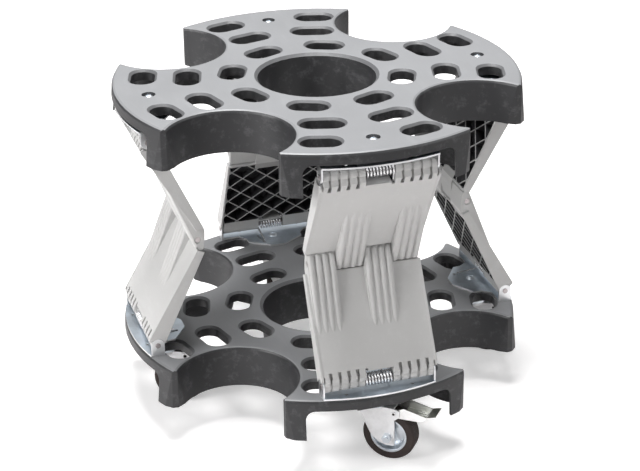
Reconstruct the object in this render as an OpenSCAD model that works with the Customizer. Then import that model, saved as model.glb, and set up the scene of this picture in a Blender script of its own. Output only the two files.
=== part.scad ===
// Folding round trolley: two clover-shaped decks joined by four sprung flap
// legs, on four swivel castors. Millimetres, +Z up, origin on the floor on
// the centre line. The four lobes lie on -Y (front), +X, +Y and -X.

/* [Deck] */
// Radius of the deck's rim at its top edge
deck_r = 300; // [296:1:306]
// Depth of the deck's skirt
skirt_h = 62; // [56:1:66]
// Sideways draft of the skirt over its depth
draft = 5; // [3:0.5:6]
// Wall of the skirt
skirt_t = 5; // [3.5:0.5:6]
// Thickness of the deck's top plate
plate_t = 5; // [4:0.5:6]
// Distance of each bite's centre in from the rim
bite_in = 41.25; // [38:0.25:44]
// Radius of each bite at the top
bite_r = 90.4; // [86:0.2:92]
// Radius of the rounded corner between rim and bite
corner_r = 9; // [8:0.5:12]
// Height of the rounded top edge
edge_h = 4; // [2:0.5:4.5]
// Radius of the centre hole
hole_r = 88; // [84:1:88]
// Depth of the collar round the centre hole
collar_h = 70; // [60:1:72]
// Wall of the collar
collar_t = 3.5; // [2.5:0.5:3.5]
// Half angle of the opening under each lobe
open_a = 21.4; // [19:0.2:22]
// Corner radius of the opening
open_r = 14; // [8:1:18]
// Depth of the lintel over the opening
lintel_h = 16; // [14:0.5:18]
// Depth of the mounting pad under each lobe
pad_h = 21.5; // [20:0.5:24]
// Half width of the mounting pad
pad_w = 36; // [32:1:38]

/* [Slots] */
// Clear width of every slot
slot_w = 35; // [30:1:36]
// Clear length of the inner and outer slots
slot_l = 57; // [50:1:60]
// Clear length of the middle slots
slot_lm = 63; // [56:1:66]
// Wall round every slot
slot_t = 2.5; // [2:0.5:3]
// Width of the sloped edge round every slot
slot_c = 3.5; // [2:0.5:4]
// Distance of the inner slots' middle from the edge of the centre hole
slot_in1 = 36.9; // [36:0.1:38]
// Distance of the outer slots' middle in from the rim
slot_in3 = 44.75; // [43:0.25:47]

/* [Legs] */
// Distance of each hinge pin in from the deck's rim
hinge_in = 24.5; // [23:0.5:28]
// Height of the hinge pin over its bracket's mounting face
pin_h = 17; // [16:0.5:19]
// Length of each flap from hinge pin to knee pin
flap_l = 175; // [172:0.5:176]
// Lean of each flap from the vertical at full height
lean = 22.5; // [21:0.5:24]
// Half width of each flap
flap_w = 86.5; // [84:0.5:86.5]
// Wall of each flap
flap_t = 3; // [2:0.5:3.5]
// Height of the flap's outer face over the pin at the hinge end
face_v = 16; // [15:0.5:17]
// Fall of the outer face towards the knee, per millimetre
face_fall = 0.125; // [0.11:0.005:0.13]
// Depth of the flap's inner rim under the pin at the hinge end
rim_v = 8.5; // [8:0.5:9]
// Fall of the inner rim towards the knee, per millimetre
rim_fall = 0.042; // [0.03:0.002:0.05]
// Radius of the hinge and knee barrels
barrel_r = 9.5; // [8.5:0.25:10]
// Distance of the end wall short of the knee pin
end_gap = 15; // [14:0.5:16]
// Reach of the finger noses past the knee pin
nose_l = 17.3; // [16:0.1:17.5]
// Diameter of the hinge and knee pins
pin_d = 8; // [6:0.5:9]
// Radial running clearance of pins
pin_c = 0.05; // [0.02:0.01:0.1]
// Clearance between neighbouring fingers and at the stop
gap_c = 0.3; // [0.2:0.05:0.5]
// Pitch of the lattice ribs along the flap
lattice_p = 34.6; // [30:0.2:40]
// Thickness of the lattice ribs
lattice_t = 2; // [1.5:0.5:3]

/* [Brackets] */
// Thickness of the bracket sheet
sheet_t = 2.5; // [2:0.1:3]
// Outer half width over the bracket's ears
ear_w = 84.5; // [82.5:0.5:84.5]
// Radius of the ear round the pin
ear_r = 10; // [9:0.25:10.5]
// Distance of the mounting bolts in from the deck's rim
bolt_in = 47.2; // [45:0.1:50]
// Reach of the bracket's tongue inward of the mounting bolt
tongue_l = 35.3; // [33:0.1:36]
// Thread diameter of the mounting bolts
bolt_d = 8; // [6:1:8]

/* [Springs] */
// Wire diameter of the torsion springs
wire_d = 3; // [2.5:0.1:3.2]
// Mean coil diameter of the torsion springs
coil_d = 17; // [16:0.5:18]
// Number of coils of each torsion spring
coils = 8; // [6:1:8]
// Pitch of the coils
coil_p = 4.6; // [4.2:0.1:4.8]

/* [Castors] */
// Wheel diameter
wheel_d = 80; // [76:1:82]
// Wheel width
wheel_w = 25; // [22:1:26]
// Height of the castor from the floor to its mounting face
castor_h = 98; // [97:0.5:102]
// Trail of the wheel behind its swivel axis
trail = 29; // [25:0.5:32]
// Gap between the fork's legs
fork_gap = 30; // [29:0.5:32]
// Diameter of the axle bolt
axle_d = 8; // [6:1:8]
// Swivel angle of the front castor
swivel_front = -38.5; // [-180:0.5:180]
// Swivel angle of the right castor
swivel_right = -28; // [-180:1:180]
// Swivel angle of the back castor
swivel_back = -30; // [-180:1:180]
// Swivel angle of the left castor
swivel_left = -22; // [-180:1:180]

/* [Hidden] */
$fn = 96;
bite_d = deck_r - bite_in;
hinge_r = deck_r - hinge_in;
bolt_r = deck_r - bolt_in;
slot_r1 = hole_r + slot_in1;
slot_r3 = deck_r - slot_in3;
slot_r2 = (slot_r1 + slot_r3) / 2;
axle_z = wheel_d / 2;
deck_z = castor_h + pad_h;
reach_h = 2 * flap_l * cos(lean);
upper_pin = pad_h + pin_h;
deck_h = pin_h + reach_h + upper_pin;
top_z = deck_z + deck_h;
bore_r = pin_d / 2 + pin_c;
// Centre of the rounded corner, the same at every height
corner_s = deck_r - corner_r;
corner_q = bite_r + corner_r;
corner_u = acos((corner_s * corner_s + bite_d * bite_d - corner_q * corner_q) / (2 * corner_s * bite_d));
lobe_names = ["front", "right", "back", "left"];
swivels = [swivel_front, swivel_right, swivel_back, swivel_left];
function dir2(a, r = 1) = [r * cos(a), r * sin(a)];
// Draft of the outline at a depth below the top
function drift(z) = draft * (-z) / skirt_h;

// Solid of the deck's outline between two depths, drawn in by t0 and t1
module outline(z0, z1, t0, t1) {
    d0 = drift(z0) - t0;
    d1 = drift(z1) - t1;
    h = z1 - z0;
    b = bite_d;
    difference() {
        translate([0, 0, z0]) cylinder(h = h, r1 = deck_r + d0, r2 = deck_r + d1, $fn = 180);
        for (k = [0:3]) rotate([0, 0, 45 + 90 * k]) {
            translate([b, 0, z0 - 0.01 * h]) cylinder(h = 1.02 * h, r1 = bite_r - d0 + 0.01 * (d1 - d0),
                r2 = bite_r - d1 - 0.01 * (d1 - d0));
            // facets that round the corner between rim and bite
            for (m = [-1, 1]) {
                c = dir2(m * corner_u, corner_s);
                v = m * corner_u;
                q = [b, 0] - c;
                span = m * ((m * (atan2(q[1], q[0]) - v) + 720) % 360 - 360);
                for (j = [1, 3, 5]) translate([c[0], c[1], z0 - 1]) rotate([0, 0, v + span * j / 6])
                    translate([corner_r + (d0 + d1) / 2, -25, 0]) cube([40, 50, h + 2]);
            }
        }
    }
}

// Ring that takes off the top edge of the rim and of each bite
module top_edges() {
    e = edge_h;
    rotate_extrude($fn = 180) polygon([[deck_r + e, 1], [deck_r - e, 1], [deck_r - e, 0],
        [deck_r - 0.3 * e, -0.3 * e], [deck_r + draft * e / skirt_h + 0.3, -e - 0.6], [deck_r + e, -e - 0.6]]);
    for (k = [0:3]) rotate([0, 0, 45 + 90 * k]) translate([bite_d, 0, 0]) rotate_extrude()
        polygon([[bite_r - e, 1], [bite_r + e, 1], [bite_r + e, 0], [bite_r + 0.3 * e, -0.3 * e],
            [bite_r - draft * e / skirt_h - 0.3, -e - 0.6], [bite_r - e, -e - 0.6]]);
}

// Solid with straight sides and round ends, along X
module round_bar(len, wid, h) {
    cube([len - wid, wid, h], center = true);
    for (s = [-1, 1]) translate([s * (len - wid) / 2, 0, 0]) cylinder(h = h, d = wid, center = true, $fn = 48);
}

// Sloped mouth of a slot, from its clear size at the bottom to wider at the top
module slot_mouth(len, wid, c) {
    run = len - wid;
    for (s = [-1, 1]) translate([s * run / 2, 0, -c]) cylinder(h = c + 0.01, r1 = wid / 2, r2 = wid / 2 + c, $fn = 48);
    rotate([90, 0, 90]) translate([0, 0, -run / 2]) linear_extrude(run)
        polygon([[-wid / 2, -c], [wid / 2, -c], [wid / 2 + c, 0.01], [-wid / 2 - c, 0.01]]);
}

// Each slot's distance, angle from the lobe's middle and length
slot_rows = [[slot_r1, 22.8, slot_l], [slot_r2, 15.3, slot_lm], [slot_r3, 16.4, slot_l]];

module slot_walls() {
    for (k = [0:3], s = slot_rows, m = [-1, 1])
        rotate([0, 0, 90 * k + m * s[1]]) translate([0, -s[0], -(lintel_h + plate_t - 1) / 2])
            round_bar(s[2] + 2 * slot_t, slot_w + 2 * slot_t, lintel_h - plate_t + 1);
}

module slot_cuts() {
    for (k = [0:3], s = slot_rows, m = [-1, 1])
        rotate([0, 0, 90 * k + m * s[1]]) translate([0, -s[0], 0]) {
            round_bar(s[2], slot_w, 3 * lintel_h);
            slot_mouth(s[2], slot_w, slot_c);
        }
}

// Window under a lobe, cut through the skirt only
module lobe_window() {
    w = deck_r * sin(open_a);
    difference() {
        translate([0, -deck_r + 60, 0]) rotate([90, 0, 0]) linear_extrude(100) {
            translate([-w, -skirt_h - 5]) square([2 * w, skirt_h + 5 - lintel_h - open_r]);
            translate([-w + open_r, -lintel_h - open_r - 1]) square([2 * w - 2 * open_r, open_r + 1]);
            for (s = [-1, 1]) translate([s * (w - open_r), -lintel_h - open_r]) circle(r = open_r, $fn = 48);
        }
        translate([0, 0, -2 * skirt_h]) cylinder(h = 3 * skirt_h, r = deck_r - skirt_t - 1.5, $fn = 180);
    }
}

// Ribbed mounting pad under a lobe, with the bolt's boss
module pad() {
    y0 = -deck_r + skirt_t + 2;
    y1 = -bolt_r + 40;
    rib = 4;
    translate([0, 0, -pad_h]) difference() {
        translate([-pad_w, y0, 0]) cube([2 * pad_w, y1 - y0, pad_h - plate_t + 1]);
        for (sx = [-1, 1], sy = [0, 1]) translate([sx > 0 ? rib / 2 : -pad_w + rib,
            sy > 0 ? -bolt_r + rib / 2 : y0 + rib, -1])
            cube([pad_w - 1.5 * rib, sy > 0 ? y1 + bolt_r - 1.5 * rib : -bolt_r - y0 - 1.5 * rib, pad_h - plate_t]);
    }
    translate([0, -bolt_r, -pad_h]) cylinder(h = pad_h - plate_t + 1, r = 15, $fn = 48);
    // rib from the pad to the collar
    translate([-2, y1 - 1, -pad_h]) cube([4, -y1 - hole_r - collar_t + 4, pad_h - plate_t + 1]);
}

// One moulded deck, its top face at z = 0; sunk is the depth of the bolt's recess
module deck(sunk) {
    difference() {
        union() {
            difference() {
                outline(-skirt_h, 0, 0, 0);
                top_edges();
                outline(-skirt_h - 1, -plate_t, skirt_t, skirt_t);
                for (k = [0:3]) rotate([0, 0, 90 * k]) lobe_window();
            }
            slot_walls();
            for (k = [0:3]) rotate([0, 0, 90 * k]) pad();
            translate([0, 0, -collar_h]) cylinder(h = collar_h - plate_t + 1,
                r1 = hole_r + collar_t - draft, r2 = hole_r + collar_t, $fn = 120);
            for (k = [0:3]) rotate([0, 0, 45 + 90 * k]) translate([hole_r + 1, -2, -pad_h - 8])
                cube([bite_d - bite_r - hole_r - 2, 4, pad_h + 8 - plate_t + 1]);
        }
        slot_cuts();
        translate([0, 0, -collar_h - 1]) cylinder(h = collar_h + 2, r1 = hole_r - draft, r2 = hole_r, $fn = 120);
        translate([0, 0, -edge_h]) cylinder(h = edge_h + 0.01, r1 = hole_r, r2 = hole_r + edge_h, $fn = 120);
        for (k = [0:3]) rotate([0, 0, 90 * k]) translate([0, -bolt_r, 0]) {
            cylinder(h = 4 * pad_h, d = bolt_d + 1, center = true, $fn = 48);
            translate([0, 0, -sunk]) cylinder(h = 2 * sunk, r = bolt_d + 2, $fn = 48);
        }
    }
}

// Straight bar along X from w0 to w1 with a section drawn in Y and Z
module across(w0, w1) { translate([w0, 0, 0]) rotate([90, 0, 90]) linear_extrude(w1 - w0) children(); }
// Round bar along X
module pin(w0, w1, r, n = 48) { translate([w0, 0, 0]) rotate([0, 90, 0]) cylinder(h = w1 - w0, r = r, $fn = n); }

// Pressed bracket of the front leg: mounting face at z = 0, hinge at -Y
module bracket() {
    tip = -bolt_r + tongue_l;
    difference() {
        union() {
            linear_extrude(sheet_t) difference() {
                intersection() {
                    circle(r = deck_r - 1, $fn = 180);
                    union() {
                        polygon([[-ear_w, -deck_r - 9], [ear_w, -deck_r - 9], [ear_w, -hinge_r + ear_r], [56, -hinge_r + ear_r],
                            [46, -bolt_r + 1], [45, -bolt_r + 12.8], [14.6, tip - 2.2], [8, tip], [-8, tip],
                            [-14.6, tip - 2.2], [-45, -bolt_r + 12.8], [-46, -bolt_r + 1], [-56, -hinge_r + ear_r],
                            [-ear_w, -hinge_r + ear_r]]);
                        for (s = [-1, 1]) translate([s * 8, tip - 12]) circle(r = 12, $fn = 64);
                    }
                }
                for (s = [-1, 1]) translate([s * 49.7, -hinge_r - 8.5]) circle(d = 5, $fn = 32);
                translate([20.5, -hinge_r]) {
                    translate([0, 43]) circle(d = wire_d + 2, $fn = 32);
                    polygon([[-1.3, 42.5], [1.3, 43.5], [6.1, 15.5], [3.5, 15.5]]);
                }
            }
            for (s = [-1, 1]) across(s > 0 ? ear_w - sheet_t : -ear_w, s > 0 ? ear_w : -ear_w + sheet_t) {
                translate([-hinge_r - ear_r, 0]) square([2 * ear_r, pin_h]);
                translate([-hinge_r, pin_h]) circle(r = ear_r);
            }
        }
        translate([0, -bolt_r, -1]) cylinder(h = sheet_t + 2, d = bolt_d + 1, $fn = 48);
        translate([0, -hinge_r, pin_h]) pin(-flap_w - 5, flap_w + 5, pin_d / 2 + 0.02);
    }
}

// One flap, upright: pin axis on X, knee up at Z = flap_l, outer face at -Y
tip_w = flap_w - flap_t;
cell = (2 * tip_w) / 4;
end_u = flap_l - end_gap;
function vo(u) = face_v - face_fall * u;
function vi(u) = -rim_v - rim_fall * u;
crest = barrel_r;
// tilt of the finger ribs, which brings them level with the face at their far end
fade = atan((crest - vo(66) + 1.2) / (flap_l + 8.6 - 66));
rib_w = cell / 4;
comb_w = tip_w - 2;
spring_w = 21.5;
stop_s = (end_gap - gap_c) * sqrt(2);

module finger(w0, w1) {
    n = 4;
    a = w0 + gap_c / 2 + 0.1;
    b = w1 - gap_c / 2 - 0.1;
    base = crest - 4;
    u9 = flap_l + nose_l;
    across(a, b) polygon([[-base, flap_l + stop_s - base], [-(stop_s - nose_l), u9], [0.8, u9],
        [8, flap_l + 6], [14.8, flap_l - 8.6], [-vi(end_u), end_u], [-vi(end_u - 12), end_u - 12],
        [-vo(end_u - 12) + flap_t, end_u - 12], [-vo(77) + flap_t, 77], [-vo(77), 77], [-base, 80]]);
    for (i = [0:n - 1]) translate([a + (i + 0.5) * (b - a) / n, -(crest - 4.4), flap_l + 8.6]) {
        rotate([fade, 0, 0]) translate([0, 0, -(flap_l + 8.6 - 66) / cos(fade)])
            cylinder(h = (flap_l + 8.6 - 66) / cos(fade), r = 4.4, $fn = 32);
        sphere(r = 4.3, $fn = 32);
    }
}

module flap() {
    n0 = spring_w;
    difference() {
        union() {
            // outer face
            across(-tip_w - 1, tip_w + 1) polygon([[-vo(13.5), 13.5], [-vo(13.5) + flap_t, 13.5],
                [-vo(end_u) + flap_t, end_u], [-vo(end_u), end_u]]);
            // side walls, with the end wall between them
            for (s = [-1, 1]) across(s > 0 ? tip_w : -flap_w, s > 0 ? flap_w : -tip_w) polygon([[-vo(7), 7],
                [-vo(2), 9], [-vo(end_u), end_u], [-vi(end_u), end_u], [-vi(0), 0], [-vi(0) - 4, 0]]);
            across(-tip_w - 1, tip_w + 1) polygon([[-vo(end_u), end_u], [-vo(end_u) + 0.4, end_u - flap_t],
                [-vi(end_u), end_u - flap_t], [-vi(end_u), end_u]]);
            // comb of barrels round the hinge pin
            for (s = [-1, 1]) {
                a = s > 0 ? n0 : -comb_w;
                b = s > 0 ? comb_w : -n0;
                pin(a, b, barrel_r);
                across(a, b) polygon([[-barrel_r, 0], [-vo(6), 6], [-vo(20), 20], [-vi(20) - 1.5, 20], [barrel_r - 0.5, 0]]);
            }
            // wall behind the spring's window
            across(-spring_w + 5, spring_w + 1) polygon([[-vo(13.5) + 1, 13.5], [-vo(16) + 1, 16], [-vi(16) - 0.6, 16],
                [-vi(13.5) - 0.6, 13.5]]);
            // lattice
            intersection() {
                across(-tip_w - 1, tip_w + 1) polygon([[-vo(20) + 1, 20], [-vo(end_u) + 1, end_u], [-vi(end_u) - 0.6, end_u],
                    [-vi(20) - 0.6, 20]]);
                translate([0, 30, 0]) rotate([90, 0, 0]) linear_extrude(60)
                    for (i = [-4:8], m = [-1, 1]) translate([0, i * lattice_p + 6]) rotate(m * 41)
                        square([4 * tip_w, lattice_t], center = true);
            }
            finger(-tip_w, -tip_w + cell);
            finger(-tip_w + 2 * cell, -tip_w + 3 * cell);
        }
        // pins
        pin(-flap_w - 1, flap_w + 1, bore_r);
        translate([0, 0, flap_l]) pin(-flap_w - 1, flap_w + 1, bore_r);
        for (s = [-1, 1]) translate([0, 0, flap_l]) pin(s > 0 ? tip_w - 1 : -tip_w - 1, s > 0 ? tip_w + 1 : -tip_w + 1, 5.5);
        // room for the bracket's ears
        for (s = [-1, 1]) pin(s > 0 ? comb_w : -flap_w - 1, s > 0 ? flap_w + 1 : -comb_w, ear_r + 1.3);
        for (s = [-1, 1]) across(s > 0 ? comb_w : -ear_w - gap_c, s > 0 ? ear_w + gap_c : -comb_w)
            translate([barrel_r - 6, -2]) square([9, ear_r + 1]);
        // windows and grooves of the comb
        for (s = [-1, 1], i = [0:3]) translate([s * (32 + 13.4 * i), 0, 0]) {
            across(-2.5, 2.5) polygon([[-face_v - 2, 8.5], [-face_v - 2, 18], [-7.2, 18], [-7.2, 8.5]]);
            across(-1.8, 1.8) difference() {
                polygon([[-face_v - 2, -12], [-face_v - 2, 9], [-7.2, 9], [0, 0], [0, -12]]);
                circle(r = 7.2);
            }
        }
        // notch over the spring's leg
        across(-spring_w, -spring_w + 5) polygon([[-face_v - 2, 10], [-face_v - 2, 17.5], [-8, 17.5], [-8, 10]]);
    }
}

// Six-sided tube through a list of points, with a side direction at each
function unit(v) = v / norm(v);
module tube(path, r, side) {
    n = len(path);
    pts = [for (i = [0:n - 1]) let (t = unit(path[min(i + 1, n - 1)] - path[max(i - 1, 0)]),
        a = unit(side[i] - (side[i] * t) * t), b = cross(t, a), q = 1)
        for (j = [0:5]) path[i] + r * (cos(60 * j) * a + sin(60 * j) * b)];
    faces = concat([[for (j = [0:5]) j]], [[for (j = [0:5]) 6 * n - 1 - j]],
        [for (i = [0:n - 2], j = [0:5], k = [0, 1]) let (p = 6 * i + j, q = 6 * i + (j + 1) % 6)
            k == 0 ? [p, p + 6, q] : [q, p + 6, q + 6]]);
    polyhedron(pts, faces, convexity = 10);
}

// Torsion spring round the hinge pin: one leg up behind the face, one along the plate
coil_r = coil_d / 2;
spring_n = 8 * coils + 3;
spring_turn = 360 * coils + 90 + lean;
spring_half = coil_p * spring_turn / 720;
leg_z = -(pin_h - sheet_t - wire_d / 2 - 0.3);
leg_up = [0, sin(lean), cos(lean)];
leg_side = [0, -cos(lean), sin(lean)];
function coil_at(a) = [0, coil_r * cos(a), coil_r * sin(a)];
spring_path = concat(
    [for (u = [19.2, 15, 10, 5]) [-spring_half - 0.6, 0, 0] + coil_r * leg_side + u * leg_up],
    [for (i = [0:spring_n]) coil_at(180 - lean + spring_turn * i / spring_n)
        + [-spring_half + 2 * spring_half * i / spring_n, 0, 0]],
    [for (q = [6, 14, 27, 40]) [spring_half + 0.6, q, -coil_r + (leg_z + coil_r) * q / 40]]);
spring_side = concat([for (i = [0:3]) leg_side],
    [for (i = [0:spring_n]) coil_at(180 - lean + spring_turn * i / spring_n)], [for (i = [0:3]) [0, 0, -1]]);
// Least gap of the wire to itself, between points half a turn or more apart
spring_gap = min([for (i = [0:len(spring_path) - 6], j = [i + 5:len(spring_path) - 1])
    norm(spring_path[i] - spring_path[j])]) - wire_d;
echo(spring_gap = spring_gap);

module spring() { tube(spring_path, wire_d / 2, spring_side); }

// Dome-headed bolt, its head's seat at z = 0 and its shank downwards
module dome_bolt(len) {
    r = bolt_d / 2;
    translate([0, 0, -len]) cylinder(h = len + 0.5, r = r);
    difference() {
        intersection() {
            cylinder(h = 0.55 * bolt_d, r = 1.75 * r);
            translate([0, 0, -1.1 * r]) sphere(r = 2.15 * r);
        }
        translate([0, 0, 0.3 * bolt_d]) cylinder(h = bolt_d, r = 0.72 * r, $fn = 6);
    }
}
// Hexagon nut, its seat at z = 0 and its body downwards
module nut(h, bore) {
    translate([0, 0, -h]) difference() {
        cylinder(h = h, r = 0.94 * bolt_d, $fn = 6);
        translate([0, 0, -1]) cylinder(h = h + 2, r = bore);
    }
}

// Castor, its swivel axis on Z and its wheel trailing along +X
crown_z = castor_h - 9.5;
crown_t = 3;
king_r = 7;
king_z = crown_z - 7.5;
ball_d = castor_h - 5.5 - crown_z;
leg_t = 2.5;
pivot = [trail + 9.4, wheel_d + 0.5];

module castor_head() {
    rotate_extrude() polygon([[bolt_d / 2 + 0.2, king_z], [king_r + 3, king_z], [king_r + 3, king_z + 2],
        [king_r, king_z + 2], [king_r, castor_h - 5.5], [26, castor_h - 5.5], [26, castor_h - 8], [29, castor_h - 8],
        [29, castor_h - 2], [27, castor_h], [bolt_d / 2 + 0.2, castor_h]]);
}

module swivel_ring(n = 14) {
    for (i = [0:n - 1]) rotate([0, 0, 360 * i / n]) translate([20, 0, castor_h - 5.5 - ball_d / 2])
        sphere(d = ball_d - 0.1, $fn = 32);
}

module castor_fork() {
    g = fork_gap / 2;
    e = g + leg_t;
    difference() {
        union() {
            translate([0, 0, crown_z - crown_t]) cylinder(h = crown_t, r = 27);
            translate([-15, -e, crown_z - crown_t]) cube([trail + 24, 2 * e, crown_t]);
            translate([0, 0, king_z + 2.1]) cylinder(h = crown_z - king_z - 3, r = king_r + 5);
            for (s = [-1, 1]) translate([0, s > 0 ? e : -g, 0]) rotate([90, 0, 0]) linear_extrude(leg_t) difference() {
                polygon([[-15, crown_z], [-14, crown_z - 11.5], [trail - 26.8, axle_z + 3.6], [trail - 23, axle_z - 2],
                    [trail - 13, axle_z - 10], [trail - 3, axle_z - 13], [trail + 8, axle_z - 12.8],
                    [trail + 10.5, axle_z - 11.5], [trail + 10.5, crown_z - 19], [trail + 18, crown_z - 12.5],
                    [trail + 18, crown_z - 3], [trail + 9, crown_z]]);
                translate([trail, axle_z]) circle(d = axle_d + 0.1);
                translate(pivot) circle(d = 5.1);
            }
        }
        translate([0, 0, king_z]) cylinder(h = crown_z, r = king_r + 0.06);
    }
}

module wheel_turn() { translate([trail, 0, axle_z]) rotate([90, 0, 0]) rotate_extrude($fn = 120) children(); }

rim_r = 0.66 * wheel_d / 2;
module castor_tyre() {
    h = wheel_w / 2;
    r = wheel_d / 2;
    gr = wheel_w / 6;
    wheel_turn() difference() {
        polygon([[rim_r, -h + 1.2], [rim_r + 1.2, -h], [r - 3, -h], [r - 0.8, -h + 2.2], [r, -h + 4.2], [r, h - 4.2],
            [r - 0.8, h - 2.2], [r - 3, h], [rim_r + 1.2, h], [rim_r, h - 1.2]]);
        for (i = [-2:2]) translate([r, i * 0.75 * gr]) square([1.6, 1], center = true);
    }
}

module castor_rim() {
    h = wheel_w / 2;
    b = axle_d / 2 + 0.06;
    g = fork_gap / 2 - 0.3;
    wheel_turn() {
        polygon([[b, -g], [b + 4, -g], [b + 4, -4], [rim_r - 5, -2], [rim_r - 2.2, -h + 2.6], [rim_r - 2.2, -h],
            [rim_r + 1, -h], [rim_r, -h + 1.2], [rim_r, h - 1.2], [rim_r + 1, h], [rim_r - 2.2, h],
            [rim_r - 2.2, h - 2.6], [rim_r - 5, 2], [b + 4, 4], [b + 4, g], [b, g]]);
    }
}

module castor_axle() {
    e = fork_gap / 2 + leg_t;
    r = axle_d / 2;
    translate([trail, 0, axle_z]) rotate([90, 0, 0]) {
        translate([0, 0, -e - 0.8]) cylinder(h = 2 * e + 9, r = r);
        translate([0, 0, -e - 5.3]) cylinder(h = 5.3, r = 1.85 * r, $fn = 6);
        translate([0, 0, e]) cylinder(h = 6, r = 1.85 * r, $fn = 6);
    }
}

// Foot brake: channel on a cross pin, with a web, a shoe and a tread
module brake() {
    g = fork_gap / 2 - 0.3;
    a = g - 2;
    e = fork_gap / 2 + leg_t;
    x = pivot[0];
    z = pivot[1];
    module slab(w, pts) { translate([0, w, 0]) rotate([90, 0, 0]) linear_extrude(2 * w) polygon([for (q = pts) [x, z] + q]); }
    difference() {
        union() {
            for (s = [-1, 1]) translate([0, s > 0 ? g : -a, 0]) rotate([90, 0, 0]) linear_extrude(g - a)
                polygon([for (q = [[-3, -6], [3, -8], [41, -7.5], [50, 1], [14, 9.6], [4, 4.5], [-3, 4]]) [x, z] + q]);
            slab(a + 0.5, [[13, -4.5], [20, -6], [46, -5.5], [46, -3.3], [20, -3.8], [13, -2.3]]);
            slab(g, [[49.4, -0.8], [62.2, 2.6], [61.8, 4.8], [49, 1.6], [45, -3.6], [46.4, -5.6]]);
        }
        translate([x, 0, z]) rotate([90, 0, 0]) cylinder(h = 4 * e, d = 5.1, center = true);
        translate([x + 24, 0, z]) cube([7, 4, 30], center = true);
    }
}
module brake_pin() {
    e = fork_gap / 2 + leg_t;
    in = wheel_w / 2 + gap_c;
    translate([pivot[0], 0, pivot[1]]) rotate([90, 0, 0]) for (s = [-1, 1]) {
        translate([0, 0, s * (e + in) / 2]) cylinder(h = e - in, d = 5, center = true);
        translate([0, 0, s * (e + 0.5)]) cylinder(h = 1, d = 7.5, center = true);
    }
}

// Places a castor under its lobe, turned to its swivel angle
module at_castor(k) {
    translate([for (c = dir2(90 * k - 90, bolt_r)) c]) rotate([0, 0, swivels[k]]) children();
}
// Places a leg piece drawn for the front lower hinge at lobe k, low or high
module at_leg(k, high) {
    zm = deck_z + pin_h + reach_h / 2;
    rotate([0, 0, 90 * k]) {
        if (high) translate([0, 0, 2 * zm]) rotate([0, 180, 0]) children();
        else children();
    }
}
module at_hinge(k, high) { at_leg(k, high) translate([0, -hinge_r, deck_z + pin_h]) children(); }

module lower_deck() { color("dimgray") translate([0, 0, deck_z]) deck(0.625 * bolt_d); }
module upper_deck() { color("gray") translate([0, 0, top_z]) deck(0.625 * bolt_d); }
module lower_bracket(k) { color("lightsteelblue") at_leg(k, false) translate([0, 0, deck_z]) bracket(); }
module upper_bracket(k) { color("lightsteelblue") at_leg(k, true) translate([0, 0, deck_z]) bracket(); }
module lower_flap(k) { color("silver") at_hinge(k, false) rotate([-lean, 0, 0]) flap(); }
module upper_flap(k) { color("silver") at_hinge(k, true) rotate([-lean, 0, 0]) flap(); }
module knee_pin(k) {
    color("rosybrown") at_hinge(k, false) rotate([-lean, 0, 0]) translate([0, 0, flap_l])
        pin(-tip_w + 1, tip_w - 1, pin_d / 2);
}
module hinge_pins(high) {
    color("rosybrown") for (k = [0:3]) at_hinge(k, high) pin(-ear_w - 1, ear_w + 1, pin_d / 2);
}
module lower_spring(k) { color("gainsboro") at_hinge(k, false) spring(); }
module upper_spring(k) { color("gainsboro") at_hinge(k, true) spring(); }
module head(k) { color("lightsteelblue") at_castor(k) castor_head(); }
module fork(k) {
    color("whitesmoke") at_castor(k) { castor_fork(); if (k % 2 == 0) brake_pin(); }
}
module tyre(k) { color("darkslategray") at_castor(k) castor_tyre(); }
module wheel_rim(k) { color("lightblue") at_castor(k) castor_rim(); }
module axle(k) { color("gainsboro") at_castor(k) castor_axle(); }
module brake_pedal(k) { color("tan") at_castor(k) brake(); }
module swivel_balls() { color("gainsboro") for (k = [0:3]) at_castor(k) swivel_ring(); }
module castor_bolts() {
    color("lightsteelblue") for (k = [0:3]) at_castor(k) {
        translate([0, 0, deck_z + sheet_t]) dome_bolt(deck_z + sheet_t - king_z + 7);
        translate([0, 0, king_z]) nut(6, bolt_d / 2);
    }
}
module deck_screws() {
    color("lightsteelblue") for (k = [0:3]) at_castor(k)
        translate([0, 0, top_z - 0.625 * bolt_d]) dome_bolt(pad_h - 0.625 * bolt_d + sheet_t + 7.5);
}
module deck_nuts() {
    color("lightsteelblue") for (k = [0:3]) at_castor(k)
        translate([0, 0, top_z - pad_h - sheet_t]) nut(6.5, bolt_d / 2);
}

lower_deck();
upper_deck();
lower_bracket(0);  // lower_bracket_front
lower_bracket(1);  // lower_bracket_right
lower_bracket(2);  // lower_bracket_back
lower_bracket(3);  // lower_bracket_left
upper_bracket(0);  // upper_bracket_front
upper_bracket(1);  // upper_bracket_right
upper_bracket(2);  // upper_bracket_back
upper_bracket(3);  // upper_bracket_left
lower_flap(0);  // lower_flap_front
lower_flap(1);  // lower_flap_right
lower_flap(2);  // lower_flap_back
lower_flap(3);  // lower_flap_left
upper_flap(0);  // upper_flap_front
upper_flap(1);  // upper_flap_right
upper_flap(2);  // upper_flap_back
upper_flap(3);  // upper_flap_left
knee_pin(0);  // knee_pin_front
knee_pin(1);  // knee_pin_right
knee_pin(2);  // knee_pin_back
knee_pin(3);  // knee_pin_left
lower_spring(0);  // lower_spring_front
lower_spring(1);  // lower_spring_right
lower_spring(2);  // lower_spring_back
lower_spring(3);  // lower_spring_left
upper_spring(0);  // upper_spring_front
upper_spring(1);  // upper_spring_right
upper_spring(2);  // upper_spring_back
upper_spring(3);  // upper_spring_left
head(0);  // castor_head_front
head(1);  // castor_head_right
head(2);  // castor_head_back
head(3);  // castor_head_left
fork(0);  // castor_fork_front
fork(1);  // castor_fork_right
fork(2);  // castor_fork_back
fork(3);  // castor_fork_left
tyre(0);  // castor_tyre_front
tyre(1);  // castor_tyre_right
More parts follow.
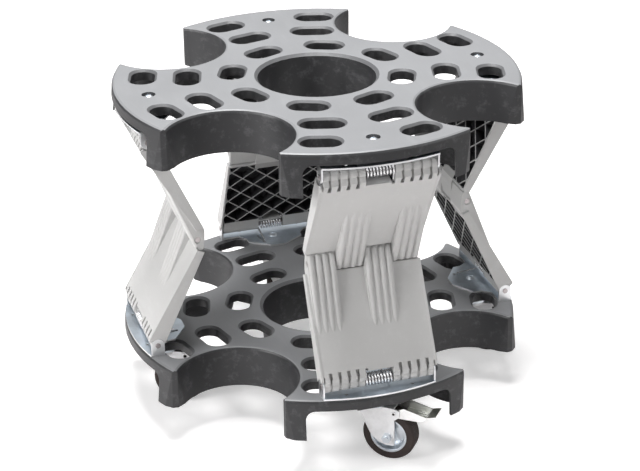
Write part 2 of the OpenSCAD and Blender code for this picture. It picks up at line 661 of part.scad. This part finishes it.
tyre(2);  // castor_tyre_back
tyre(3);  // castor_tyre_left
wheel_rim(0);  // castor_rim_front
wheel_rim(1);  // castor_rim_right
wheel_rim(2);  // castor_rim_back
wheel_rim(3);  // castor_rim_left
axle(0);  // castor_axle_front
axle(1);  // castor_axle_right
axle(2);  // castor_axle_back
axle(3);  // castor_axle_left
brake_pedal(0);  // brake_pedal_front
brake_pedal(2);  // brake_pedal_back
hinge_pins(false);  // lower_hinge_pins
hinge_pins(true);  // upper_hinge_pins
swivel_balls();
castor_bolts();
deck_screws();
deck_nuts();
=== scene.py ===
"""Studio view of a folding round wheel trolley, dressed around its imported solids."""
import math

import bmesh
import bpy
from mathutils import Matrix, Vector


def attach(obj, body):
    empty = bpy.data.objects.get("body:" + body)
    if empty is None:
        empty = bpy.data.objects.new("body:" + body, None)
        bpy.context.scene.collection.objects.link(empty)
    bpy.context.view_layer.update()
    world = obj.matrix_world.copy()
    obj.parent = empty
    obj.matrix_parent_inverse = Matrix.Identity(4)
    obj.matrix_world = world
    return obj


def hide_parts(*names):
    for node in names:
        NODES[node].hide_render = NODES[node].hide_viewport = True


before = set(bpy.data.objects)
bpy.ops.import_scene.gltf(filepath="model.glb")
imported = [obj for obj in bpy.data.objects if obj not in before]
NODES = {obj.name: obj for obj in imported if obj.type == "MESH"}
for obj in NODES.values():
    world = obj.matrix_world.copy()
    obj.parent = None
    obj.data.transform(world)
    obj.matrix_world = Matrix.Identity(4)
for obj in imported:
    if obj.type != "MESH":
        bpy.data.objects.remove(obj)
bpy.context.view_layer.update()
SIDES = ("front", "right", "back", "left")

# The photograph's view: image width and focal length in pixels, the camera's turn and place
IMAGE_W = 640
FOCAL_PX = 1918.1
SENSOR_MM = 36.0
AZIMUTH, ELEVATION, ROLL = (math.radians(a) for a in (-17.424, 25.597, -0.567))
CAMERA_AT = Vector((-0.7882, -2.5192, 1.5001))

# Legs, repeated from the model, in metres: the pins' line and what it stands on
LEAN = math.radians(22.5)
FLAP_L = 0.175
REACH = 2 * FLAP_L * math.cos(LEAN)
HINGE_R = 0.2755
DECK_Z = 0.1195
PIN_H = 0.017
PLATE_T = 0.0025
MID_Z = DECK_Z + PIN_H + REACH / 2

# A flap's section about the pins' line: face and rim at the hinge and their fall along the flap,
# the depth under the face where the open back's painted shade starts, the ends and half width of
# the open back, and the band and share of the painted highlight on the lattice's edge
FACE_V, FACE_FALL = 0.016, 0.125
RIM_V, RIM_FALL = 0.0085, 0.042
BACK_SHADE_DEPTH = 0.0026
BACK_START, BACK_END = 0.0195, 0.159
BACK_HALF = 0.0802
EDGE_HIGHLIGHT_BAND, EDGE_HIGHLIGHT_SHARE = 0.001, 0.65

# Springs about a hinge pin: wire, coils, the legs' offset beside them and points along each leg
WIRE_R = 0.0015
COIL_R = 0.0085
COILS = 8
COIL_PITCH = 0.0046
COIL_STEPS = 24
SPRING_GAP = 0.0003
LEG_ASIDE = 0.0006
LEG_UP = (0.0192, 0.015, 0.010, 0.005)
LEG_FLAT = (0.006, 0.014, 0.027, 0.040)

# Castors: bolt circle, angles at rest in degrees, which are braked, and the brake's pivot
BOLT_R = 0.2528
SWIVELS = (-38.5, -28, -30, -22)
BRAKED = (0, 2)
PIVOT_X, PIVOT_Z = 0.0384, 0.0805

# Pedal ribs about the pivot: place across the tread, then x, half width and top at both ends
RIBS = (("a", -0.0068), ("b", 0.0), ("c", 0.0068))
RIB_ENDS = ((0.0290, 0.0009, -0.0029), (0.0445, 0.0019, -0.0014))
RIB_FOOT = -0.0040
RIB_BEVEL = 0.0004
BOX_FACES = ((0, 1, 3, 2), (4, 6, 7, 5), (0, 4, 5, 1), (2, 3, 7, 6), (0, 2, 6, 4), (1, 5, 7, 3))

# Rivet ends: the fork cheek they sit on, and radius and height of each ring, rim to hollow, whose
# floor is dark as painted shade
RIVET_Y = 0.0185
RIVET_STEPS = 24
RIVET_RINGS = ((0.0034, 0.0), (0.0034, 0.0004), (0.0031, 0.0007),
               (0.0023, 0.0007), (0.0020, 0.0003), (0.0020, 0.00015))

# Studio: floor, its glow from the middle outwards, even light, the bright side of the
# reflections, and lamps as name, place, diameter and power
FLOOR_HALF = 6.0
FLOOR_COLOUR = (0.80, 0.785, 0.785, 1)
FLOOR_GLOW = ((0.08, 0.44), (0.4, 1.0))
AMBIENT = 0.12
SHINE_FROM = (0.25, -0.10, 0.95)
SHINE = {"From Min": 0.1, "From Max": 0.8, "To Min": 0.28, "To Max": 1.0}
LAMP_AIM = Vector((0, 0, 0.3))
LAMPS = (("top", (-0.1, 0.2, 2.7), 1.3, 104),
         ("key", (1.7, -1.6, 1.7), 1.4, 13),
         ("left", (-2.4, -0.6, 1.3), 1.6, 52))

# Sockets of a Mix node that mixes colours
MIX_FACTOR, MIX_A, MIX_B, MIX_RESULT = 0, 6, 7, 2


def add_object(name, data):
    """New object of the scene."""
    obj = bpy.data.objects.new(name, data)
    bpy.context.scene.collection.objects.link(obj)
    return obj


def links(owner):
    """Nodes and link function of a material or a world."""
    owner.use_nodes = True
    return owner.node_tree.nodes, owner.node_tree.links.new


def set_inputs(shader, **values):
    """Sets shader sockets by name, with spaces written as underscores."""
    for name, value in values.items():
        shader.inputs[name.replace("_", " ")].default_value = value


def noise(nodes, link, coords, scale, detail, rough=0.6, stretch=None):
    """Noise texture in object space, optionally stretched."""
    tex = nodes.new("ShaderNodeTexNoise")
    set_inputs(tex, Scale=scale, Detail=detail, Roughness=rough)
    source = coords
    if stretch:
        mapping = nodes.new("ShaderNodeMapping")
        mapping.inputs["Scale"].default_value = stretch
        link(coords, mapping.inputs["Vector"])
        source = mapping.outputs["Vector"]
    link(source, tex.inputs["Vector"])
    return tex.outputs["Fac"]


def ramp(nodes, link, fac, stops):
    """Colour ramp with (position, colour) stops; a colour may be one grey number."""
    node = nodes.new("ShaderNodeValToRGB")
    elements = node.color_ramp.elements
    for i, (at, value) in enumerate(stops):
        element = elements[i] if i < 2 else elements.new(at)
        colour = (value,) * 3 if isinstance(value, (int, float)) else value
        element.position = at
        element.color = (*colour, 1)
    link(fac, node.inputs["Fac"])
    return node.outputs["Color"]


def mix(nodes, link, fac, a, b, mode="MIX"):
    """Mixes two colours; each may be a socket or a colour."""
    node = nodes.new("ShaderNodeMix")
    node.data_type = "RGBA"
    node.blend_type = mode
    for index, value in ((MIX_FACTOR, fac), (MIX_A, a), (MIX_B, b)):
        socket = node.inputs[index]
        if isinstance(value, bpy.types.NodeSocket):
            link(value, socket)
        elif isinstance(value, (int, float)):
            socket.default_value = value
        else:
            socket.default_value = (*value, 1)
    return node.outputs[MIX_RESULT]


def calc(nodes, link, operation, a, b=0.0):
    """One math node on two values, each a socket or a number."""
    node = nodes.new("ShaderNodeMath")
    node.operation = operation
    for socket, value in zip(node.inputs, (a, b)):
        if isinstance(value, (int, float)):
            socket.default_value = value
        else:
            link(value, socket)
    return node.outputs["Value"]


def bumped(nodes, link, shader, height, strength, distance, edge):
    """Bump on a shader, over edges softened by a small radius."""
    bump = nodes.new("ShaderNodeBump")
    set_inputs(bump, Strength=strength, Distance=distance)
    link(height, bump.inputs["Height"])
    bevel = nodes.new("ShaderNodeBevel")
    bevel.samples = 6
    bevel.inputs["Radius"].default_value = edge
    link(bevel.outputs["Normal"], bump.inputs["Normal"])
    link(bump.outputs["Normal"], shader.inputs["Normal"])


def up_facing(nodes, link):
    """1 on faces that look up, 0 on the rest."""
    geometry = nodes.new("ShaderNodeNewGeometry")
    split = nodes.new("ShaderNodeSeparateXYZ")
    link(geometry.outputs["Normal"], split.inputs["Vector"])
    return ramp(nodes, link, split.outputs["Z"], ((0.55, 0.0), (0.98, 1.0)))


def start(name):
    """New material with its shader and object coordinates."""
    mat = bpy.data.materials.new(name)
    nodes, link = links(mat)
    coords = nodes.new("ShaderNodeTexCoord").outputs["Object"]
    return mat, nodes, link, nodes["Principled BSDF"], coords


def flap_back_shade(nodes, link, coords):
    """Painted shade mask: 1 in a flap's open back, less on its lattice's edges where a painted
    highlight lifts it, 0 on the outside face.
    """
    def do(operation, a, b=0.0):
        return calc(nodes, link, operation, a, b)
    split = nodes.new("ShaderNodeSeparateXYZ")
    link(coords, split.inputs["Vector"])
    x, y = (do("ABSOLUTE", split.outputs[axis]) for axis in "XY")
    out = do("SUBTRACT", do("MAXIMUM", x, y), HINGE_R)
    aside = do("MINIMUM", x, y)
    from_mid = do("ABSOLUTE", do("SUBTRACT", split.outputs["Z"], MID_Z))
    rise = do("SUBTRACT", REACH / 2, from_mid)
    rise_along, rise_over = (do("MULTIPLY", rise, turn(LEAN)) for turn in (math.cos, math.sin))
    out_along, out_over = (do("MULTIPLY", out, turn(LEAN)) for turn in (math.sin, math.cos))
    along = do("SUBTRACT", rise_along, out_along)
    over = do("ADD", rise_over, out_over)
    face = do("SUBTRACT", FACE_V, do("MULTIPLY", along, FACE_FALL))
    rim = do("ADD", RIM_V, do("MULTIPLY", along, RIM_FALL))
    # Painted shade: everything deeper than a thin layer under the outside face, within the open
    # back's ends and half width
    inside = do("GREATER_THAN", do("SUBTRACT", face, over), BACK_SHADE_DEPTH)
    for more, less in ((along, BACK_START), (BACK_END, along), (BACK_HALF, aside)):
        inside = do("MULTIPLY", inside, do("GREATER_THAN", more, less))
    # Painted highlight: a thin band on the lattice's edges takes back part of the painted shade
    edge = do("MULTIPLY", do("LESS_THAN", do("ADD", over, rim), EDGE_HIGHLIGHT_BAND), EDGE_HIGHLIGHT_SHARE)
    return do("MULTIPLY", inside, do("SUBTRACT", 1.0, edge))


def plastic(name, side, top, grain, rough, wear, back=None):
    """Moulded plastic: a side colour and a lighter top colour as painted light from above, scuffs,
    fine grain, and painted shade in a flap's open back with a painted highlight on its lattice's
    edges.
    """
    mat, nodes, link, shader, coords = start(name)
    patches = noise(nodes, link, coords, scale=5, detail=3)
    scuffs = noise(nodes, link, coords, scale=60, detail=8, rough=0.75, stretch=(1, 0.25, 1))
    tone = ramp(nodes, link, patches, ((0.3, 0.93), (0.7, 1.06)))
    # The top colour is lighter than the side colour: painted light from above on faces that look up
    base = mix(nodes, link, up_facing(nodes, link), side, top)
    base = mix(nodes, link, 1.0, base, tone, "MULTIPLY")
    scuffed = ramp(nodes, link, scuffs, ((0.52, 0.0), (0.78, 0.25)))
    wear_and_painted_light = mix(nodes, link, scuffed, base, wear)
    # A flap's open back takes the back colour as painted shade, lightened on its lattice's edges by
    # a painted highlight
    if back:
        wear_and_painted_light = mix(nodes, link, flap_back_shade(nodes, link, coords), wear_and_painted_light, back)
    link(wear_and_painted_light, shader.inputs["Base Color"])
    dull = ramp(nodes, link, scuffs, ((0.3, rough - 0.04), (0.7, rough + 0.06)))
    link(dull, shader.inputs["Roughness"])
    set_inputs(shader, Specular_IOR_Level=0.5)
    grit = noise(nodes, link, coords, scale=grain, detail=3)
    bumped(nodes, link, shader, grit, strength=0.16, distance=0.0003, edge=0.0011)
    return mat


def plated(name, tint, rough, cloud, metal=1.0):
    """Zinc or drawn steel: cloudy plating with fine drawing marks."""
    mat, nodes, link, shader, coords = start(name)
    spangle = noise(nodes, link, coords, scale=cloud, detail=6)
    marks = noise(nodes, link, coords, scale=500, detail=2, rough=0.5, stretch=(1, 0.06, 1))
    dark = tuple(0.72 * c for c in tint)
    colour = ramp(nodes, link, spangle, ((0.25, dark), (0.75, tint)))
    link(colour, shader.inputs["Base Color"])
    dull = ramp(nodes, link, marks, ((0.3, rough - 0.05), (0.8, rough + 0.12)))
    link(dull, shader.inputs["Roughness"])
    set_inputs(shader, Metallic=metal)
    bumped(nodes, link, shader, marks, strength=0.08, distance=0.0002, edge=0.0004)
    return mat


def pressed(name, flat, wall, rough):
    """Pressed zinc sheet: one colour on faces that look up, another on ears and cut edges."""
    mat, nodes, link, shader, coords = start(name)
    cloud = noise(nodes, link, coords, scale=26, detail=5)
    base = mix(nodes, link, up_facing(nodes, link), wall, flat)
    tone = ramp(nodes, link, cloud, ((0.3, 0.8), (0.7, 1.25)))
    link(mix(nodes, link, 1.0, base, tone, "MULTIPLY"), shader.inputs["Base Color"])
    dull = ramp(nodes, link, cloud, ((0.3, rough - 0.06), (0.7, rough + 0.1)))
    link(dull, shader.inputs["Roughness"])
    set_inputs(shader, Metallic=1.0)
    grit = noise(nodes, link, coords, scale=220, detail=3)
    bumped(nodes, link, shader, grit, strength=0.06, distance=0.0002, edge=0.0005)
    return mat


def rubber(name, colour):
    """Tyre rubber: matt, dusty in patches, fine moulding grain."""
    mat, nodes, link, shader, coords = start(name)
    dust = noise(nodes, link, coords, scale=45, detail=6)
    pale = tuple(2.0 * c for c in colour)
    dusty = ramp(nodes, link, dust, ((0.35, colour), (0.85, pale)))
    link(dusty, shader.inputs["Base Color"])
    link(ramp(nodes, link, dust, ((0.3, 0.55), (0.8, 0.8))), shader.inputs["Roughness"])
    set_inputs(shader, Specular_IOR_Level=0.35)
    grit = noise(nodes, link, coords, scale=900, detail=3)
    bumped(nodes, link, shader, grit, strength=0.25, distance=0.0003, edge=0.0005)
    return mat


# Deck and flap tops take lighter colours than their sides as painted light from above
DECK = plastic("deck_plastic", side=(0.026, 0.026, 0.028), top=(0.205, 0.208, 0.215),
               grain=1500, rough=0.43, wear=(0.32, 0.32, 0.33))
# The flap's back colour is painted shade in its open back
FLAP = plastic("flap_plastic", side=(0.55, 0.547, 0.54), top=(0.57, 0.57, 0.57),
               grain=1800, rough=0.42, wear=(0.76, 0.76, 0.76), back=(0.035, 0.035, 0.037))
ZINC = plated("zinc_steel", tint=(0.80, 0.85, 0.90), rough=0.34, cloud=60)
BRACKET = pressed("bracket_zinc", flat=(0.58, 0.64, 0.70), wall=(0.74, 0.75, 0.76), rough=0.34)
FORK = plated("fork_zinc", tint=(0.97, 0.97, 0.98), rough=0.42, cloud=40, metal=0.3)
PIN = plated("pin_steel", tint=(0.50, 0.46, 0.46), rough=0.30, cloud=80)
SPRING = plated("spring_steel", tint=(0.82, 0.82, 0.83), rough=0.22, cloud=90)
TREAD = pressed("tread_zinc", flat=(0.46, 0.47, 0.42), wall=(0.93, 0.93, 0.92), rough=0.36)
RUBBER = rubber("tyre_rubber", (0.028, 0.020, 0.018))

# The first key found in a node's name gives its material
LOOKS = (("deck_nuts", ZINC), ("deck_screws", ZINC), ("_deck", DECK), ("flap", FLAP),
         ("bracket", BRACKET), ("pin", PIN), ("spring", SPRING), ("tyre", RUBBER),
         ("rim", ZINC), ("fork", FORK), ("brake", TREAD), ("", ZINC))


def look_of(node):
    """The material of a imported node, from its name."""
    return next(mat for key, mat in LOOKS if key in node)


def dress_nodes():
    """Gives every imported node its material."""
    for node_name, node_obj in NODES.items():
        node_obj.data.materials.clear()
        node_obj.data.materials.append(look_of(node_name))


def spring_path():
    """Points of one torsion spring about its hinge pin: leg up, coils, leg along the plate."""
    turn = 2 * math.pi * COILS + math.pi / 2 + LEAN
    half = COIL_PITCH * turn / (4 * math.pi)
    side = Vector((0, -math.cos(LEAN), math.sin(LEAN)))
    along = Vector((0, math.sin(LEAN), math.cos(LEAN)))
    leg_root = Vector((-half - LEG_ASIDE, 0, 0)) + COIL_R * side
    points = [leg_root + reach * along for reach in LEG_UP]
    steps = COIL_STEPS * COILS
    for i in range(steps + 1):
        angle = math.pi - LEAN + turn * i / steps
        points.append(Vector((-half + 2 * half * i / steps,
                              COIL_R * math.cos(angle), COIL_R * math.sin(angle))))
    foot_z = PLATE_T + WIRE_R + SPRING_GAP - PIN_H
    slope = (foot_z + COIL_R) / LEG_FLAT[-1]
    points += [Vector((half + LEG_ASIDE, y, -COIL_R + slope * y)) for y in LEG_FLAT]
    return points


def tube(name, points, radius, mat):
    """Round wire mesh along a list of points."""
    curve = bpy.data.curves.new(name, "CURVE")
    curve.dimensions = "3D"
    curve.bevel_depth = radius
    curve.bevel_resolution = 4
    curve.use_fill_caps = True
    line = curve.splines.new("POLY")
    line.points.add(len(points) - 1)
    for point, at in zip(line.points, points):
        point.co = (*at, 1)
    temp = add_object(name + "_curve", curve)
    bpy.context.view_layer.update()
    drawn = temp.evaluated_get(bpy.context.evaluated_depsgraph_get())
    mesh = bpy.data.meshes.new_from_object(drawn)
    bpy.data.objects.remove(temp)
    mesh.materials.clear()
    mesh.materials.append(mat)
    for face in mesh.polygons:
        face.use_smooth = True
    return add_object(name, mesh)


def make_springs():
    """Round-wire springs in place of the faceted ones."""
    path = spring_path()
    to_hinge = Matrix.Translation((0, -HINGE_R, DECK_Z + PIN_H))
    flip = Matrix.Translation((0, 0, 2 * MID_Z)) @ Matrix.Rotation(math.pi, 4, "Y")
    for k, side in enumerate(SIDES):
        turn = Matrix.Rotation(k * math.pi / 2, 4, "Z")
        for level, body, place in (("lower", "lower_deck", turn @ to_hinge),
                                   ("upper", "upper_deck", turn @ flip @ to_hinge)):
            obj = tube(f"wire_{level}_{side}", [place @ p for p in path], WIRE_R, SPRING)
            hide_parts(f"{level}_spring_{side}")
            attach(obj, body)


def reshape(mesh, change):
    """Applies one bmesh change to a mesh."""
    form = bmesh.new()
    form.from_mesh(mesh)
    change(form)
    form.to_mesh(mesh)
    form.free()


def soften(form):
    """Rounds every edge of a small pressed shape."""
    bmesh.ops.bevel(form, geom=form.edges, offset=RIB_BEVEL, segments=2, profile=0.6,
                    affect="EDGES")


def face_outward(form):
    """Turns every face to look outward."""
    bmesh.ops.recalc_face_normals(form, faces=form.faces)


def solid(name, verts, faces, change, *mats):
    """Closed mesh object from points and faces, after one bmesh change."""
    mesh = bpy.data.meshes.new(name)
    mesh.from_pydata(verts, [], faces)
    reshape(mesh, change)
    for mat in mats:
        mesh.materials.append(mat)
    return add_object(name, mesh)


def castor_place(k):
    """Placement of a castor's own frame at rest, by lobe number."""
    a = math.radians(90 * k - 90)
    return (Matrix.Translation((BOLT_R * math.cos(a), BOLT_R * math.sin(a), 0))
            @ Matrix.Rotation(math.radians(SWIVELS[k]), 4, "Z"))


def make_pedal_ribs():
    """Pressed ribs along the tread plate of each foot brake."""
    for k in BRAKED:
        place = castor_place(k) @ Matrix.Translation((PIVOT_X, 0, PIVOT_Z))
        for letter, y in RIBS:
            verts = [place @ Vector((x, y + across, z)) for x, half, top in RIB_ENDS
                     for across in (-half, half) for z in (RIB_FOOT, top)]
            obj = solid(f"pedal_rib_{letter}_{SIDES[k]}", verts, BOX_FACES, soften, TREAD)
            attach(obj, f"brake_{SIDES[k]}")


def make_rivets():
    """Hollow rivet ends of each brake's pivot, on both cheeks of the fork, with the shallow
    hollow's floor dark as painted shade for a deep bore.
    """
    n = RIVET_STEPS
    last = len(RIVET_RINGS) - 1
    circle = [(math.cos(2 * math.pi * i / n), math.sin(2 * math.pi * i / n)) for i in range(n)]
    walls = [(j * n + i, j * n + (i + 1) % n, (j + 1) * n + (i + 1) % n, (j + 1) * n + i)
             for j in range(last) for i in range(n)]
    base, hollow = tuple(range(n)), tuple(last * n + i for i in range(n))
    for k in BRAKED:
        for letter, s in (("a", -1), ("b", 1)):
            place = castor_place(k) @ Matrix.Translation((PIVOT_X, s * RIVET_Y, PIVOT_Z))
            verts = [place @ Vector((r * c, s * height, r * d))
                     for r, height in RIVET_RINGS for c, d in circle]
            obj = solid(f"rivet_{letter}_{SIDES[k]}", verts, [*walls, base, hollow],
                        face_outward, FORK, RUBBER)
            # The hollow's floor takes the dark tyre rubber as painted shade in the rivet's bore
            obj.data.polygons[len(walls) + 1].material_index = 1
            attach(obj, f"fork_{SIDES[k]}")


def make_stage():
    """Pale floor that stays white to the camera but keeps the shadow."""
    mesh = bpy.data.meshes.new("floor")
    corners = [(x * FLOOR_HALF, y * FLOOR_HALF, 0) for x, y in ((-1, -1), (1, -1), (1, 1), (-1, 1))]
    mesh.from_pydata(corners, [], [(0, 1, 2, 3)])
    floor = add_object("floor", mesh)
    mat, nodes, link, shader, coords = start("floor")
    set_inputs(shader, Base_Color=FLOOR_COLOUR, Roughness=0.9)
    glow = nodes.new("ShaderNodeEmission")
    path = nodes.new("ShaderNodeLightPath")
    away = nodes.new("ShaderNodeVectorMath")
    away.operation = "LENGTH"
    link(coords, away.inputs[0])
    share = calc(nodes, link, "DIVIDE", away.outputs["Value"], FLOOR_HALF)
    lift = ramp(nodes, link, share, FLOOR_GLOW)
    seen = calc(nodes, link, "MULTIPLY", path.outputs["Is Camera Ray"], lift)
    link(seen, glow.inputs["Strength"])
    add = nodes.new("ShaderNodeAddShader")
    link(shader.outputs["BSDF"], add.inputs[0])
    link(glow.outputs["Emission"], add.inputs[1])
    link(add.outputs["Shader"], nodes["Material Output"].inputs["Surface"])
    mesh.materials.append(mat)


def make_lamp(name, at, size, power):
    """Soft area lamp aimed at the trolley's middle."""
    data = bpy.data.lights.new(name, "AREA")
    data.shape = "DISK"
    data.size = size
    data.energy = power
    lamp = add_object(name, data)
    lamp.location = at
    lamp.rotation_euler = (LAMP_AIM - Vector(at)).to_track_quat("-Z", "Y").to_euler()


def make_world():
    """White backdrop to the camera, brighter reflections from above, dim even light."""
    world = bpy.data.worlds.new("studio")
    bpy.context.scene.world = world
    nodes, link = links(world)
    path = nodes.new("ShaderNodeLightPath")
    towards = nodes.new("ShaderNodeVectorMath")
    towards.operation = "DOT_PRODUCT"
    towards.inputs[1].default_value = SHINE_FROM
    link(nodes.new("ShaderNodeTexCoord").outputs["Generated"], towards.inputs[0])
    shine = nodes.new("ShaderNodeMapRange")
    for socket, value in SHINE.items():
        shine.inputs[socket].default_value = value
    link(towards.outputs["Value"], shine.inputs["Value"])
    mirrored = mix(nodes, link, path.outputs["Is Glossy Ray"], (AMBIENT,) * 3,
                   shine.outputs["Result"])
    seen = mix(nodes, link, path.outputs["Is Camera Ray"], mirrored, (1.0, 1.0, 1.0))
    link(seen, nodes["Background"].inputs["Color"])


def make_camera():
    """Camera at the photograph's place and angle."""
    right = Vector((math.cos(AZIMUTH), math.sin(AZIMUTH), 0))
    back = Vector((math.sin(AZIMUTH) * math.cos(ELEVATION),
                   -math.cos(AZIMUTH) * math.cos(ELEVATION), math.sin(ELEVATION)))
    up = back.cross(right)
    tilted_right = right * math.cos(ROLL) + up * math.sin(ROLL)
    tilted_up = back.cross(tilted_right)
    data = bpy.data.cameras.new("camera")
    data.sensor_width = SENSOR_MM
    data.lens = FOCAL_PX / IMAGE_W * SENSOR_MM
    data.clip_start = 0.05
    camera = add_object("camera", data)
    turn = Matrix((tilted_right, tilted_up, back)).transposed()
    camera.matrix_world = Matrix.Translation(CAMERA_AT) @ turn.to_4x4()
    bpy.context.scene.camera = camera


bpy.context.scene.view_settings.view_transform = "Standard"
dress_nodes()
make_camera()
make_world()
make_stage()
for lamp_values in LAMPS:
    make_lamp(*lamp_values)
make_springs()
make_pedal_ribs()
make_rivets()
